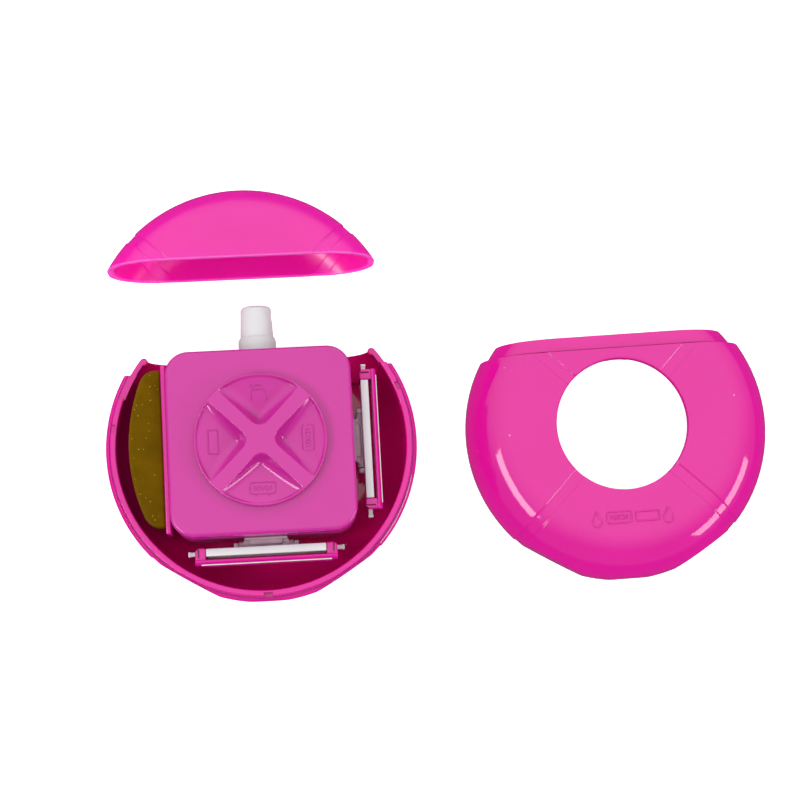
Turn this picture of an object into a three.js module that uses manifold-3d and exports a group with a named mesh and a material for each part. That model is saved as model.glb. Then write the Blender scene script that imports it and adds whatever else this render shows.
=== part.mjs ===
// A round pocket shaving kit, opened out on a table: a tray with a turning carousel in it,
// the front cover lying beside it and the sliding cap drawn off above it.
// The carousel carries a water sprayer, a soap bar and two razor cartridges, one on each side.
// Millimetres, +Z up. The origin is the centre of the tray's flat back face, on the table.
import * as THREE from "three";
import { mergeVertices } from "three/addons/utils/BufferGeometryUtils.js";
import Module from "manifold-3d";

const wasm = await Module();
wasm.setup();

// ---------- Driving dimensions ----------

const CASE_R = 40; // outer radius of the round case
const CASE_T = 28; // thickness of the closed case
const PARTING_Z = CASE_T / 2; // height at which the tray meets the front cover
const EDGE_RUN = 12; // radial run of the rounded edge
const EDGE_RISE = 12; // height of the rounded edge
const WALL = 1.5;
const FOOT_Y = 39.7; // distance from the centre to the flat foot of the outline
const FOOT_HALF_ANGLE = THREE.MathUtils.degToRad(13.5);
const FACET_END_ANGLE = THREE.MathUtils.degToRad(45);
const FACET_BOW = 0.2; // how far a side facet bows outwards
const CASE_SEGMENTS = 80; // puts a vertex on each corner of the outline
const EDGE_STEPS = 5;

const CUT_Y = 20; // where the cap's mouth meets the tray and the cover
const LAP_Y = 23.8; // how far the lap joint reaches into the cap
const LAP_ROOT = 3; // how far the lap runs back under the wall
const LAP_INSET_R = 1.45;
const LAP_INSET_Z = 1.35;
const LAP_T = 1.3;
const BEAD_R = 1;
const BEAD_CENTRE_R = 37.55;
const BEAD_Z0 = 10.5;

const CAVITY_R = 37.1; // clear radius in which the carousel turns
const CAVITY_FLAT_R = 28;
const RIM_R = 38.7; // outer radius of the raised rim that the cover clips over
const RIM_Z = 16.5;
const RIM_LEFT_END_Y = 13.5; // the rim stops short on the left side
const SLOT_ANGLES = [-90, 21, 171]; // clip slots round the rim, in degrees
const SLOT_W = 2.3;
const SLOT_DEPTH = 1;

const WINDOW_R = 17.2;
const WINDOW_LIP_W = 1.4;
const WINDOW_LIP_Z = 25.95; // the window has a thicker lip that stops just short of the carousel
const SKIRT_R = 39; // inside of the cover's skirt
const SKIRT_Z = 16.8;
const CAP_WALL = 1.2;
const CAP_PLACE = new THREE.Vector3(-3.2, 26.9, 0); // the cap drawn off, from where it closes
const COVER_PLACE = new THREE.Vector3(93.8, 1.2, -PARTING_Z);
const COVER_TURN = THREE.MathUtils.degToRad(1.2);

const HUB_HALF = 23.5; // half the width of the square hub
const HUB_CORNER_R = 6;
const HUB_Z0 = 3.5;
const HUB_SPLIT_Z = 20.3; // where the tank meets its lid
const HUB_Z1 = 25.7;
const DIAL_R = 16.75;
const DIAL_WELL_R = 15.2;
const DIAL_WELL_Z = 22;
const ARM_HALF_W = 1.7; // half the width of the dial's raised X
const SCOOP_FILLET = 3;
const POST_R = 4;
const POST_Z = 9.2;
const RUN_GAP = 0.08; // radial running clearance
const SEAT_GAP = 0.05; // clearance between pieces that rest on each other

const AXIS_Z = 14; // height of the sprayer, the bar and the cartridges

const PUMP_STROKE = 3;
const ACTUATOR_BOTTOM = 26.6;
const COLLAR_R = 4.85;
const COLLAR_TOP = 28.1;
const ACTUATOR_R0 = 4.3;
const ACTUATOR_R1 = 3.9;
const ACTUATOR_TOP = 36.2;

const BLADES = 3;

// ---------- Materials ----------

const finish = (color, roughness, metalness = 0, opacity = 1) =>
  new THREE.MeshStandardMaterial({ color, roughness, metalness, opacity, transparent: opacity < 1 });

const PINK = finish(0xe044a4, 0.22);
const WHITE = finish(0xe6e2e6, 0.35);
const FROSTED = finish(0xd9cfd6, 0.3, 0, 0.6);
const SOAP = finish(0x6f5200, 0.25, 0, 0.85);
const STEEL = finish(0xc8cacc, 0.25, 1);
const SEAL = finish(0xf1eff0, 0.7);
const LUBE = finish(0xdfe6da, 0.5);

// ---------- Solids ----------

function toSolid(geometry) {
  const bare = geometry.clone();
  bare.deleteAttribute("normal");
  bare.deleteAttribute("uv");
  const merged = mergeVertices(bare, 1e-4);
  const vertProperties = new Float32Array(merged.attributes.position.array);
  const triVerts = new Uint32Array(merged.index.array);
  return new wasm.Manifold(new wasm.Mesh({ numProp: 3, vertProperties, triVerts }));
}

function toGeometry(solid) {
  const mesh = solid.getMesh();
  const geometry = new THREE.BufferGeometry();
  geometry.setAttribute("position", new THREE.BufferAttribute(mesh.vertProperties, 3));
  geometry.setIndex(new THREE.BufferAttribute(mesh.triVerts, 1));
  geometry.computeVertexNormals();
  return geometry;
}

const join = (first, ...others) => others.reduce((solid, other) => solid.add(other), first);
const cut = (first, ...tools) => tools.reduce((solid, tool) => solid.subtract(tool), first);

// A box between two corners.
function block(x0, x1, y0, y1, z0, z1) {
  const box = new THREE.BoxGeometry(x1 - x0, y1 - y0, z1 - z0);
  return toSolid(box.translate((x0 + x1) / 2, (y0 + y1) / 2, (z0 + z1) / 2));
}

// A profile of [radius, height] points turned about an upright axis. It lists them upwards on the outside.
function turned(profile, segments) {
  const points = profile.map(([r, h]) => new THREE.Vector2(r, h));
  return new THREE.LatheGeometry(points, segments).rotateX(Math.PI / 2);
}

// The same about the Y axis, at the height of the sprayer.
function turnedAlongY(profile, segments) {
  const points = profile.map(([r, y]) => new THREE.Vector2(r, y));
  return toSolid(new THREE.LatheGeometry(points, segments).translate(0, 0, AXIS_Z));
}

const disc = (r, z0, z1, segments) => toSolid(turned([[0, z0], [r, z0], [r, z1], [0, z1]], segments));

function discAt(x, y, r, z0, z1, segments) {
  return disc(r, z0, z1, segments).translate([x, y, 0]);
}

// A cylinder along Y.
const rod = (r, y0, y1, segments) => turnedAlongY([[0, y0], [r, y0], [r, y1], [0, y1]], segments);

// An upright prism over a square with round corners.
function roundedSquare(half, corner, z0, z1, bevel = 0) {
  const flat = half - bevel;
  const inner = flat - corner;
  const shape = new THREE.Shape();
  [0, 1, 2, 3].forEach((quarter) => {
    const start = (quarter * Math.PI) / 2;
    const x = inner * (quarter === 0 || quarter === 3 ? 1 : -1);
    const y = inner * (quarter < 2 ? 1 : -1);
    shape.absarc(x, y, corner, start, start + Math.PI / 2);
  });
  shape.closePath();
  const geometry = new THREE.ExtrudeGeometry(shape, {
    depth: z1 - z0 - 2 * bevel,
    curveSegments: 5,
    bevelEnabled: bevel > 0,
    bevelSize: bevel,
    bevelThickness: bevel,
    bevelSegments: 2,
  });
  return toSolid(geometry.translate(0, 0, z0 + bevel));
}

// ---------- The case's outline and section ----------

// The outline's radius over CASE_R, at an angle measured from the foot: a flat foot, a nearly straight
// facet on each side of it, and a circle from there on.
function outlineScale(angle) {
  const a = Math.abs(angle);
  const footCorner = FOOT_Y / Math.cos(FOOT_HALF_ANGLE);
  if (a <= FOOT_HALF_ANGLE) return FOOT_Y / Math.cos(a) / CASE_R;
  if (a >= FACET_END_ANGLE) return 1;
  const x0 = footCorner * Math.sin(FOOT_HALF_ANGLE);
  const y0 = footCorner * Math.cos(FOOT_HALF_ANGLE);
  const dx = CASE_R * Math.sin(FACET_END_ANGLE) - x0;
  const dy = CASE_R * Math.cos(FACET_END_ANGLE) - y0;
  const straight = (x0 * dy - y0 * dx) / (Math.sin(a) * dy - Math.cos(a) * dx);
  const along = (a - FOOT_HALF_ANGLE) / (FACET_END_ANGLE - FOOT_HALF_ANGLE);
  return (straight + FACET_BOW * Math.sin(Math.PI * along)) / CASE_R;
}

// Gives a turned geometry the case's outline in place of the circle.
function withOutline(geometry) {
  const position = geometry.attributes.position;
  for (let i = 0; i < position.count; i++) {
    const x = position.getX(i);
    const y = position.getY(i);
    const scale = outlineScale(Math.atan2(x, -y));
    position.setXY(i, x * scale, y * scale);
  }
  return geometry;
}

// Points of a rounded edge: a quarter ellipse from one angle to another, in quarter turns.
function edge(centreR, centreZ, run, rise, from, to) {
  const curve = new THREE.EllipseCurve(0, 0, run, rise, (from * Math.PI) / 2, (to * Math.PI) / 2);
  return curve.getPoints(EDGE_STEPS).map((p) => [centreR + p.x, centreZ + p.y]);
}

// The closed case's section, all of it set in from the outer surface.
function caseSection(insetR, insetZ) {
  const run = EDGE_RUN - insetR;
  const rise = EDGE_RISE - insetZ;
  return [
    [0, insetZ],
    ...edge(CASE_R - EDGE_RUN, EDGE_RISE, run, rise, -1, 0),
    ...edge(CASE_R - EDGE_RUN, CASE_T - EDGE_RISE, run, rise, 0, 1),
    [0, CASE_T - insetZ],
  ];
}

const caseBody = (insetR, insetZ) =>
  toSolid(withOutline(turned(caseSection(insetR, insetZ), CASE_SEGMENTS)));

const FAR = 60; // beyond the case on every side

// The thin wall that laps inside the cap's mouth, between two heights.
function lap(z0, z1) {
  const skin = cut(caseBody(LAP_INSET_R, LAP_INSET_Z), caseBody(LAP_INSET_R + LAP_T, LAP_INSET_Z + LAP_T));
  return skin.intersect(block(-FAR, FAR, CUT_Y - LAP_ROOT, LAP_Y, z0, z1));
}

// ---------- The case ----------

function rearShell() {
  const lower = caseBody(0, 0).intersect(block(-FAR, FAR, -FAR, CUT_Y, -1, PARTING_Z));
  const rimOutline = [[0, WALL], [RIM_R, WALL], [RIM_R, RIM_Z], [0, RIM_Z]];
  const rim = toSolid(withOutline(turned(rimOutline, CASE_SEGMENTS)));
  const rimAbove = rim.intersect(block(-FAR, FAR, -FAR, CUT_Y, PARTING_Z - 1, FAR));
  const rimStop = block(-FAR, 0, RIM_LEFT_END_Y, FAR, PARTING_Z, FAR);
  const cavityRun = CAVITY_R - CAVITY_FLAT_R;
  const cavitySection = [
    [0, WALL],
    ...edge(CAVITY_FLAT_R, EDGE_RISE, cavityRun, EDGE_RISE - WALL, -1, 0),
    [CAVITY_R, FAR],
    [0, FAR],
  ];
  const cavity = toSolid(turned(cavitySection, CASE_SEGMENTS));
  const slots = SLOT_ANGLES.map((degrees) => {
    const slot = block(RIM_R - SLOT_DEPTH, RIM_R + 2, -SLOT_W / 2, SLOT_W / 2, PARTING_Z, FAR);
    return slot.rotate([0, 0, degrees]);
  });
  const beadX = Math.sqrt(BEAD_CENTRE_R ** 2 - (LAP_Y - BEAD_R / 2) ** 2);
  const beads = [-1, 1].map((side) =>
    discAt(side * beadX, LAP_Y - BEAD_R / 2, BEAD_R, BEAD_Z0, PARTING_Z, 12),
  );
  const shell = cut(join(lower, rimAbove), rimStop, cavity, ...slots);
  return join(shell, lap(-1, PARTING_Z), ...beads, disc(POST_R, WALL - 0.5, POST_Z, 32));
}

// A flat ring on the tray's floor with four pairs of ribs, which the carousel clicks over.
function indexRing() {
  const [inner, outer, top, ribTop] = [POST_R + 0.3, 11, 2.3, 2.75];
  const floor = WALL + SEAT_GAP;
  let ring = cut(disc(outer, floor, top, 40), disc(inner, 0, FAR, 40));
  for (let quarter = 0; quarter < 4; quarter++)
    for (const side of [-1, 1]) {
      const rib = block(7, outer - 0.5, side - 0.3, side + 0.3, top - 0.3, ribTop);
      ring = ring.add(rib.rotate([0, 0, quarter * 90]));
    }
  return ring;
}

function frontCover() {
  const upper = caseBody(0, 0).intersect(block(-FAR, FAR, -FAR, CUT_Y, PARTING_Z, FAR));
  const skirtSection = [[0, 0], [SKIRT_R, 0], [SKIRT_R, SKIRT_Z], [0, SKIRT_Z]];
  const skirt = toSolid(withOutline(turned(skirtSection, CASE_SEGMENTS)));
  const shell = cut(upper, caseBody(WALL, WALL), skirt);
  const lugs = SLOT_ANGLES.map((degrees) => {
    const lug = block(SKIRT_R - 0.7, SKIRT_R + 0.4, -0.8, 0.8, PARTING_Z + 0.6, PARTING_Z + 1.6);
    return lug.rotate([0, 0, degrees]).intersect(caseBody(0.5, 0.5));
  });
  const lip = disc(WINDOW_R + WINDOW_LIP_W, WINDOW_LIP_Z, CASE_T - 0.5, 64);
  return cut(join(shell, lip, lap(PARTING_Z + 0.3, FAR), ...lugs), disc(WINDOW_R, PARTING_Z, FAR, 64));
}

function slideCap() {
  const dome = caseBody(0, 0).intersect(block(-FAR, FAR, CUT_Y, FAR, -1, FAR));
  return dome.subtract(caseBody(CAP_WALL, CAP_WALL));
}

// ---------- The carousel's hub ----------

const YOKE_SLOT_HALF_L = 4.65;
const YOKE_SLOT_HALF_H = 1.65;
const NECK_R = 5.9;
const NECK_Y = 17.5;

function hubTank() {
  const box = roundedSquare(HUB_HALF, HUB_CORNER_R, HUB_Z0, HUB_SPLIT_Z);
  const room = roundedSquare(HUB_HALF - WALL, HUB_CORNER_R - WALL, HUB_Z0 + WALL, FAR);
  const boss = disc(POST_R + 2, HUB_Z0 + 0.5, POST_Z + 1.8, 32);
  const socket = disc(POST_R + RUN_GAP, 0, POST_Z + 0.3, 32);
  const neck = rod(NECK_R, NECK_Y, HUB_HALF - 0.5, 32);
  const neckBore = rod(COLLAR_R + 0.15, 0, FAR, 32);
  const reach = [HUB_HALF - WALL - 1, HUB_HALF + 1];
  const height = [AXIS_Z - YOKE_SLOT_HALF_H, AXIS_Z + YOKE_SLOT_HALF_H];
  const slot = block(...reach, -YOKE_SLOT_HALF_L, YOKE_SLOT_HALF_L, ...height);
  return cut(join(cut(box, room), boss, neck), socket, neckBore, slot, slot.rotate([0, 0, -90]));
}

const LIP_HALF = 21;
const LIP_Z0 = 18;

function hubLid() {
  const plate = roundedSquare(HUB_HALF, HUB_CORNER_R, HUB_SPLIT_Z + SEAT_GAP - 1, HUB_Z1, 0.8);
  const skirtEnd = block(-FAR, FAR, -FAR, FAR, -1, HUB_SPLIT_Z + SEAT_GAP);
  const room = roundedSquare(HUB_HALF - WALL, HUB_CORNER_R - WALL, HUB_SPLIT_Z - 1, HUB_Z1 - WALL);
  const well = disc(DIAL_WELL_R + WALL, HUB_SPLIT_Z + 0.4, HUB_Z1 - 0.2, 48);
  const wellBore = disc(DIAL_WELL_R, DIAL_WELL_Z, FAR, 48);
  const lipOuter = roundedSquare(LIP_HALF, HUB_CORNER_R - WALL - 1, LIP_Z0, HUB_Z1 - 1);
  const lipInner = roundedSquare(LIP_HALF - 1.2, HUB_CORNER_R - WALL - 2.2, LIP_Z0 - 1, FAR);
  const neckGap = block(-NECK_R - 1, NECK_R + 1, 0, HUB_HALF - WALL, 0, HUB_SPLIT_Z + 0.3);
  return cut(join(cut(plate, skirtEnd, room), well, cut(lipOuter, lipInner)), wellBore, neckGap);
}

function lidSeal() {
  const [z0, z1, play] = [18.7, 19.7, 0.06];
  const half = HUB_HALF - WALL - play;
  const ring = roundedSquare(half, HUB_CORNER_R - WALL, z0, z1);
  const hole = roundedSquare(LIP_HALF + play, HUB_CORNER_R - WALL - 1, z0 - 1, z1 + 1);
  const neckGap = block(-NECK_R - 1, NECK_R + 1, 0, FAR, 0, FAR);
  return cut(ring, hole, neckGap);
}

// The hollow between two arms of the X: narrow and deep by the centre, wide and shallow at the rim.
function scoop(degrees) {
  const tip = (ARM_HALF_W + SCOOP_FILLET) * Math.SQRT2;
  const side = SCOOP_FILLET * Math.SQRT1_2;
  const end = DIAL_R + 2;
  const shape = new THREE.Shape();
  shape.absarc(tip, 0, SCOOP_FILLET, (3 * Math.PI) / 4, (5 * Math.PI) / 4);
  shape.lineTo(end, -(end - tip + 2 * side));
  shape.lineTo(end, end - tip + 2 * side);
  shape.closePath();
  const deep = 4.7;
  const shallow = 0.45;
  const slope = (deep - shallow) / (DIAL_R - tip + SCOOP_FILLET);
  const lift = CASE_T - deep - slope * (tip - SCOOP_FILLET);
  const tool = new THREE.ExtrudeGeometry(shape, { depth: 2 * deep, curveSegments: 6, bevelEnabled: false });
  tool.applyMatrix4(new THREE.Matrix4().makeShear(0, slope, 0, 0, 0, 0));
  return toSolid(tool.translate(0, 0, lift)).rotate([0, 0, degrees]);
}

function dialKnob() {
  const profile = [
    [0, DIAL_WELL_Z + SEAT_GAP],
    [DIAL_WELL_R - 0.1, DIAL_WELL_Z + SEAT_GAP],
    [DIAL_WELL_R - 0.1, HUB_Z1 + SEAT_GAP],
    [DIAL_R, HUB_Z1 + SEAT_GAP],
    [DIAL_R, CASE_T - 0.4],
    [DIAL_R - 0.4, CASE_T],
    [0, CASE_T],
  ];
  return cut(toSolid(turned(profile, 64)), ...[0, 90, 180, 270].map(scoop));
}

// A leaf under the hub whose tip clicks over the ring's ribs.
function indexLeaf() {
  const top = HUB_Z0 - SEAT_GAP;
  const arc = cut(disc(10, top - 0.5, top, 40), disc(8, 0, FAR, 40));
  return arc.intersect(block(0, FAR, 0, FAR, 0, FAR));
}

// ---------- The soap bar ----------

const BAR_BACK = 24.85; // from the hub's centre to the bar's flat side
const BAR_FRONT = 33.6;
const BAR_HALF_L = 20;
const BAR_END = 4.2; // length of the bar's straight ends

function barCarrier() {
  const plate = block(-BAR_BACK + SEAT_GAP, -HUB_HALF - SEAT_GAP, -22, 21, 5, 21.5);
  const ledge = block(-BAR_BACK - 5, -HUB_HALF - 0.5, -18, 18, 6.2, 7.6);
  return join(plate, ledge);
}

function shaveBar() {
  const sag = BAR_FRONT - BAR_BACK - BAR_END;
  const arcR = (BAR_HALF_L ** 2 + sag ** 2) / (2 * sag);
  const half = Math.asin(BAR_HALF_L / arcR);
  const shape = new THREE.Shape();
  shape.moveTo(-BAR_BACK, -BAR_HALF_L);
  shape.lineTo(-BAR_BACK, BAR_HALF_L);
  shape.absarc(-BAR_FRONT + arcR, 0, arcR, Math.PI - half, Math.PI + half);
  shape.closePath();
  const bar = new THREE.ExtrudeGeometry(shape, { depth: 12.2, curveSegments: 14, bevelEnabled: false });
  return toSolid(bar.translate(0, 0, 7.7));
}

// ---------- The water sprayer, along +Y ----------

const STEM_R = 1.1;
const BARREL_R = 3.2;
const BARREL_BORE = 2.4;
const BARREL_Y0 = 3;
const BARREL_Y1 = 17;
const COLLAR_FLOOR = ACTUATOR_BOTTOM - PUMP_STROKE - 0.5;

const sprayer = {
  pump_collar: [WHITE, () => turnedAlongY([
    [STEM_R + 0.2, 18.3], [COLLAR_R, 18.3], [COLLAR_R, COLLAR_TOP - 0.4], [COLLAR_R - 0.25, COLLAR_TOP],
    [ACTUATOR_R0 + 0.2, COLLAR_TOP], [ACTUATOR_R0 + 0.2, COLLAR_FLOOR], [STEM_R + 0.2, COLLAR_FLOOR],
    [STEM_R + 0.2, 18.3],
  ], 32)],
  collar_gasket: [SEAL, () => turnedAlongY([
    [STEM_R + 0.3, 17.4], [4.6, 17.4], [4.6, 18.2], [STEM_R + 0.3, 18.2], [STEM_R + 0.3, 17.4],
  ], 24)],
  pump_barrel: [WHITE, () => turnedAlongY([
    [0.7, BARREL_Y0 - 5], [1.6, BARREL_Y0 - 5], [1.6, BARREL_Y0 - 1], [BARREL_R, BARREL_Y0],
    [BARREL_R, BARREL_Y1 - 1], [4.6, BARREL_Y1 - 1], [4.6, BARREL_Y1 + 0.3], [BARREL_BORE, BARREL_Y1 + 0.3],
    [BARREL_BORE, BARREL_Y0 + 1], [0.7, BARREL_Y0], [0.7, BARREL_Y0 - 5],
  ], 24)],
  dip_tube: [FROSTED, () => turnedAlongY([
    [0.8, -20.5], [1.2, -20.5], [1.2, BARREL_Y0 - 5.1], [0.8, BARREL_Y0 - 5.1], [0.8, -20.5],
  ], 12)],
  inlet_ball: [STEEL, () => toSolid(
    new THREE.SphereGeometry(1, 12, 8).translate(0, BARREL_Y0 + 1.6, AXIS_Z),
  )],
  pump_spring: [STEEL, pumpSpring],
  pump_stem: [WHITE, () => turnedAlongY([
    [0, 14.2], [BARREL_BORE - 0.1, 14.2], [BARREL_BORE - 0.1, 16.2], [STEM_R, 16.6], [STEM_R, 31.5],
    [0, 31.5],
  ], 24)],
  spray_actuator: [WHITE, sprayActuator],
  nozzle_insert: [WHITE, nozzleInsert],
};

// Five turns of wire between the ball's seat and the piston.
function pumpSpring() {
  const [turns, coilR, wireR, y0, y1] = [5, 1.75, 0.28, 7, 13.8];
  const coil = new THREE.Curve();
  coil.getPoint = (t) => {
    const angle = t * turns * 2 * Math.PI;
    return new THREE.Vector3(coilR * Math.cos(angle), y0 + t * (y1 - y0), AXIS_Z + coilR * Math.sin(angle));
  };
  const wire = new THREE.Shape().absarc(0, 0, wireR, 0, 2 * Math.PI);
  const options = { steps: turns * 12, curveSegments: 3, bevelEnabled: false, extrudePath: coil };
  return toSolid(new THREE.ExtrudeGeometry(wire, options));
}

const NOZZLE_Y = 33.6;
const NOZZLE_R = 1.1;

function sprayActuator() {
  const profile = [
    [3.4, ACTUATOR_BOTTOM], [ACTUATOR_R0, ACTUATOR_BOTTOM], [ACTUATOR_R0, COLLAR_TOP],
    [ACTUATOR_R1, ACTUATOR_TOP - 1], [ACTUATOR_R1 - 0.5, ACTUATOR_TOP - 0.2], [2.4, ACTUATOR_TOP],
    [0, ACTUATOR_TOP], [0, 31.6], [STEM_R + SEAT_GAP, 31.6], [STEM_R + SEAT_GAP, 29], [2.2, 29],
    [3.2, 30], [3.4, ACTUATOR_BOTTOM],
  ];
  const socket = turnedAlongX(NOZZLE_R + SEAT_GAP, 2.4, 6);
  return cut(turnedAlongY(profile, 32), socket);
}

// A cylinder along X through the nozzle's place on the actuator.
function turnedAlongX(r, x0, x1) {
  const cylinder = new THREE.CylinderGeometry(r, r, x1 - x0, 16).rotateZ(Math.PI / 2);
  return toSolid(cylinder.translate((x0 + x1) / 2, NOZZLE_Y, AXIS_Z));
}

function nozzleInsert() {
  return cut(turnedAlongX(NOZZLE_R, 2.5, 4), turnedAlongX(0.35, 3.3, 5));
}

// ---------- A razor cartridge, facing +X, its length along Y ----------

const PIVOT_X = 25.6;
const KNUCKLE_R = 1.2;
const KNUCKLE_HALF_L = 7;
const SPINE_X0 = 26;
const SPINE_X1 = 28.2;
const SPINE_HALF_L = 15.2;
const FRAME_X0 = 28.5;
const FRAME_X1 = 30.2;
const FRAME_HALF_L = 18.05;
const FRAME_HALF_H = 4.8;
const NUB_HALF_L = 19.95;
const FACE_HALF_L = 16.6;
const FACE_HALF_H = 3;

// A cylinder along Y through the pivot's place.
function pivotRod(r, half, segments) {
  return rod(r, -half, half, segments).translate([PIVOT_X, 0, 0]);
}

// A block that is symmetrical in Y and about the cartridge's height.
const slab = (x0, x1, halfL, halfH) => block(x0, x1, -halfL, halfL, AXIS_Z - halfH, AXIS_Z + halfH);

const bothEnds = (solid) => join(solid, solid.mirror([0, 1, 0]));

function yoke() {
  const shape = new THREE.Shape();
  shape.moveTo(HUB_HALF + SEAT_GAP, -6.8);
  shape.lineTo(PIVOT_X, -KNUCKLE_HALF_L);
  shape.lineTo(PIVOT_X, KNUCKLE_HALF_L);
  shape.lineTo(HUB_HALF + SEAT_GAP, 6.8);
  shape.closePath();
  const plate = new THREE.ExtrudeGeometry(shape, { depth: 2, bevelEnabled: false });
  const web = toSolid(plate.translate(0, 0, AXIS_Z - 1));
  const tenon = slab(HUB_HALF - WALL + 0.1, HUB_HALF + 0.5, YOKE_SLOT_HALF_L - 0.15, YOKE_SLOT_HALF_H - 0.15);
  const collar = slab(HUB_HALF + SEAT_GAP, HUB_HALF + 0.8, 6.8, 2.6);
  const knuckle = pivotRod(KNUCKLE_R, KNUCKLE_HALF_L, 16);
  return cut(join(web, tenon, collar, knuckle), pivotRod(0.56, FAR, 16));
}

function pivotPin() {
  return pivotRod(0.5, KNUCKLE_HALF_L + 1.2, 16);
}

function spine() {
  const plate = slab(SPINE_X0, SPINE_X1, SPINE_HALF_L, FRAME_HALF_H - 0.1);
  const ear = rod(KNUCKLE_R, KNUCKLE_HALF_L + 0.2, KNUCKLE_HALF_L + 1.4, 16).translate([PIVOT_X, 0, 0]);
  const nub = slab(SPINE_X0 + 0.4, SPINE_X1 - 0.5, NUB_HALF_L, 0.8);
  const saddle = pivotRod(KNUCKLE_R + 0.2, KNUCKLE_HALF_L + 0.2, 16);
  const pinHole = pivotRod(0.55, KNUCKLE_HALF_L + 1.3, 16);
  return cut(join(plate, bothEnds(ear), nub), saddle, pinHole);
}

function cartridgeFrame() {
  const face = slab(FRAME_X0, FRAME_X1, FRAME_HALF_L, FRAME_HALF_H);
  const opening = slab(FRAME_X0 - 1, FRAME_X1 + 1, FACE_HALF_L, FACE_HALF_H);
  const laneTop = AXIS_Z + FRAME_HALF_H - 0.3;
  const lane = block(FRAME_X1 - 0.45, FAR, -FACE_HALF_L, FACE_HALF_L, AXIS_Z + FACE_HALF_H + 0.2, laneTop);
  const clip = bothEnds(
    block(SPINE_X0 - 0.2, FRAME_X0 + 0.2, SPINE_HALF_L + 0.1, FRAME_HALF_L, AXIS_Z - 4.5, AXIS_Z + 4.5),
  );
  const nubHole = slab(SPINE_X0 + 0.3, SPINE_X1 - 0.4, FAR, 0.9);
  return cut(join(face, clip), opening, lane, nubHole);
}

function lubeStrip() {
  const z0 = AXIS_Z + FACE_HALF_H + 0.25;
  const z1 = AXIS_Z + FRAME_HALF_H - 0.35;
  return block(FRAME_X1 - 0.4, FRAME_X1, -FACE_HALF_L + SEAT_GAP, FACE_HALF_L - SEAT_GAP, z0, z1);
}

function blade(index) {
  const strip = new THREE.BoxGeometry(0.2, 2 * FACE_HALF_L - 0.2, 1.5).rotateY(-0.45);
  const z = AXIS_Z + (index - (BLADES - 1) / 2) * 1.9;
  return toSolid(strip.translate((FRAME_X0 + FRAME_X1) / 2, 0, z));
}

// ---------- Assembly ----------

const kit = new THREE.Group();
const carousel = new THREE.Group();
const coverPlace = new THREE.Group();
const capPlace = new THREE.Group();
coverPlace.position.copy(COVER_PLACE);
coverPlace.rotation.z = COVER_TURN;
capPlace.position.copy(CAP_PLACE);
kit.add(carousel, coverPlace, capPlace);

function place(parent, name, solid, material) {
  const mesh = new THREE.Mesh(toGeometry(solid), material);
  mesh.name = name;
  parent.add(mesh);
}

place(kit, "rear_shell", rearShell(), PINK);
place(kit, "index_ring", indexRing(), WHITE);
place(coverPlace, "front_cover", frontCover(), PINK);
place(capPlace, "slide_cap", slideCap(), PINK);

place(carousel, "hub_tank", hubTank(), PINK);
place(carousel, "hub_lid", hubLid(), PINK);
place(carousel, "lid_seal", lidSeal(), SEAL);
place(carousel, "dial_knob", dialKnob(), PINK);
place(carousel, "index_leaf", indexLeaf(), STEEL);
place(carousel, "bar_carrier", barCarrier(), PINK);
place(carousel, "shave_bar", shaveBar(), SOAP);

for (const [name, [material, make]] of Object.entries(sprayer)) place(carousel, name, make(), material);

for (const [side, degrees] of [["right", 0], ["lower", -90]]) {
  const seat = new THREE.Group();
  seat.rotation.z = THREE.MathUtils.degToRad(degrees);
  carousel.add(seat);
  place(seat, `${side}_yoke`, yoke(), FROSTED);
  place(seat, `${side}_pivot_pin`, pivotPin(), STEEL);
  place(seat, `${side}_spine`, spine(), WHITE);
  place(seat, `${side}_frame`, cartridgeFrame(), PINK);
  place(seat, `${side}_lube_strip`, lubeStrip(), LUBE);
  for (let i = 0; i < BLADES; i++) place(seat, `${side}_blade_${i + 1}`, blade(i), STEEL);
}

export default kit;
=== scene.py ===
import math

import bmesh
import bpy
import numpy as np
from mathutils import Matrix, Vector


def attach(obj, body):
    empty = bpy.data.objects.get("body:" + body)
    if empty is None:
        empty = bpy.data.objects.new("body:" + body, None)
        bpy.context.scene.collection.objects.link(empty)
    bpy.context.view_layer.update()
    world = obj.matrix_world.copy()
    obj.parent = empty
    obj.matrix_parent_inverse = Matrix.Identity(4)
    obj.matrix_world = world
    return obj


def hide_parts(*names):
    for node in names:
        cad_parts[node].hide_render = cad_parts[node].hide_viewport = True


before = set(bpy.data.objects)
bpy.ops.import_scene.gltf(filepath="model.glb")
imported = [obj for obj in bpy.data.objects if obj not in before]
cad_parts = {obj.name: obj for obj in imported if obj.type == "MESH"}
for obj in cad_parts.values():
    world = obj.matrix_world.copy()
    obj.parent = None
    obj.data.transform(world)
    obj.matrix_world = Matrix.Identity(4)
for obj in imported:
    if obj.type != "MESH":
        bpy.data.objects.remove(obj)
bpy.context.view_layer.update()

# A round pocket shaving kit opened out: tray with its carousel, front cover and slide-off cap.
# Shapes are worked out in millimetres, in the CAD's own frame, and turned into metres at the end.

MM = 0.001

# ---------- Dimensions shared with the CAD, in mm ----------

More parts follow.
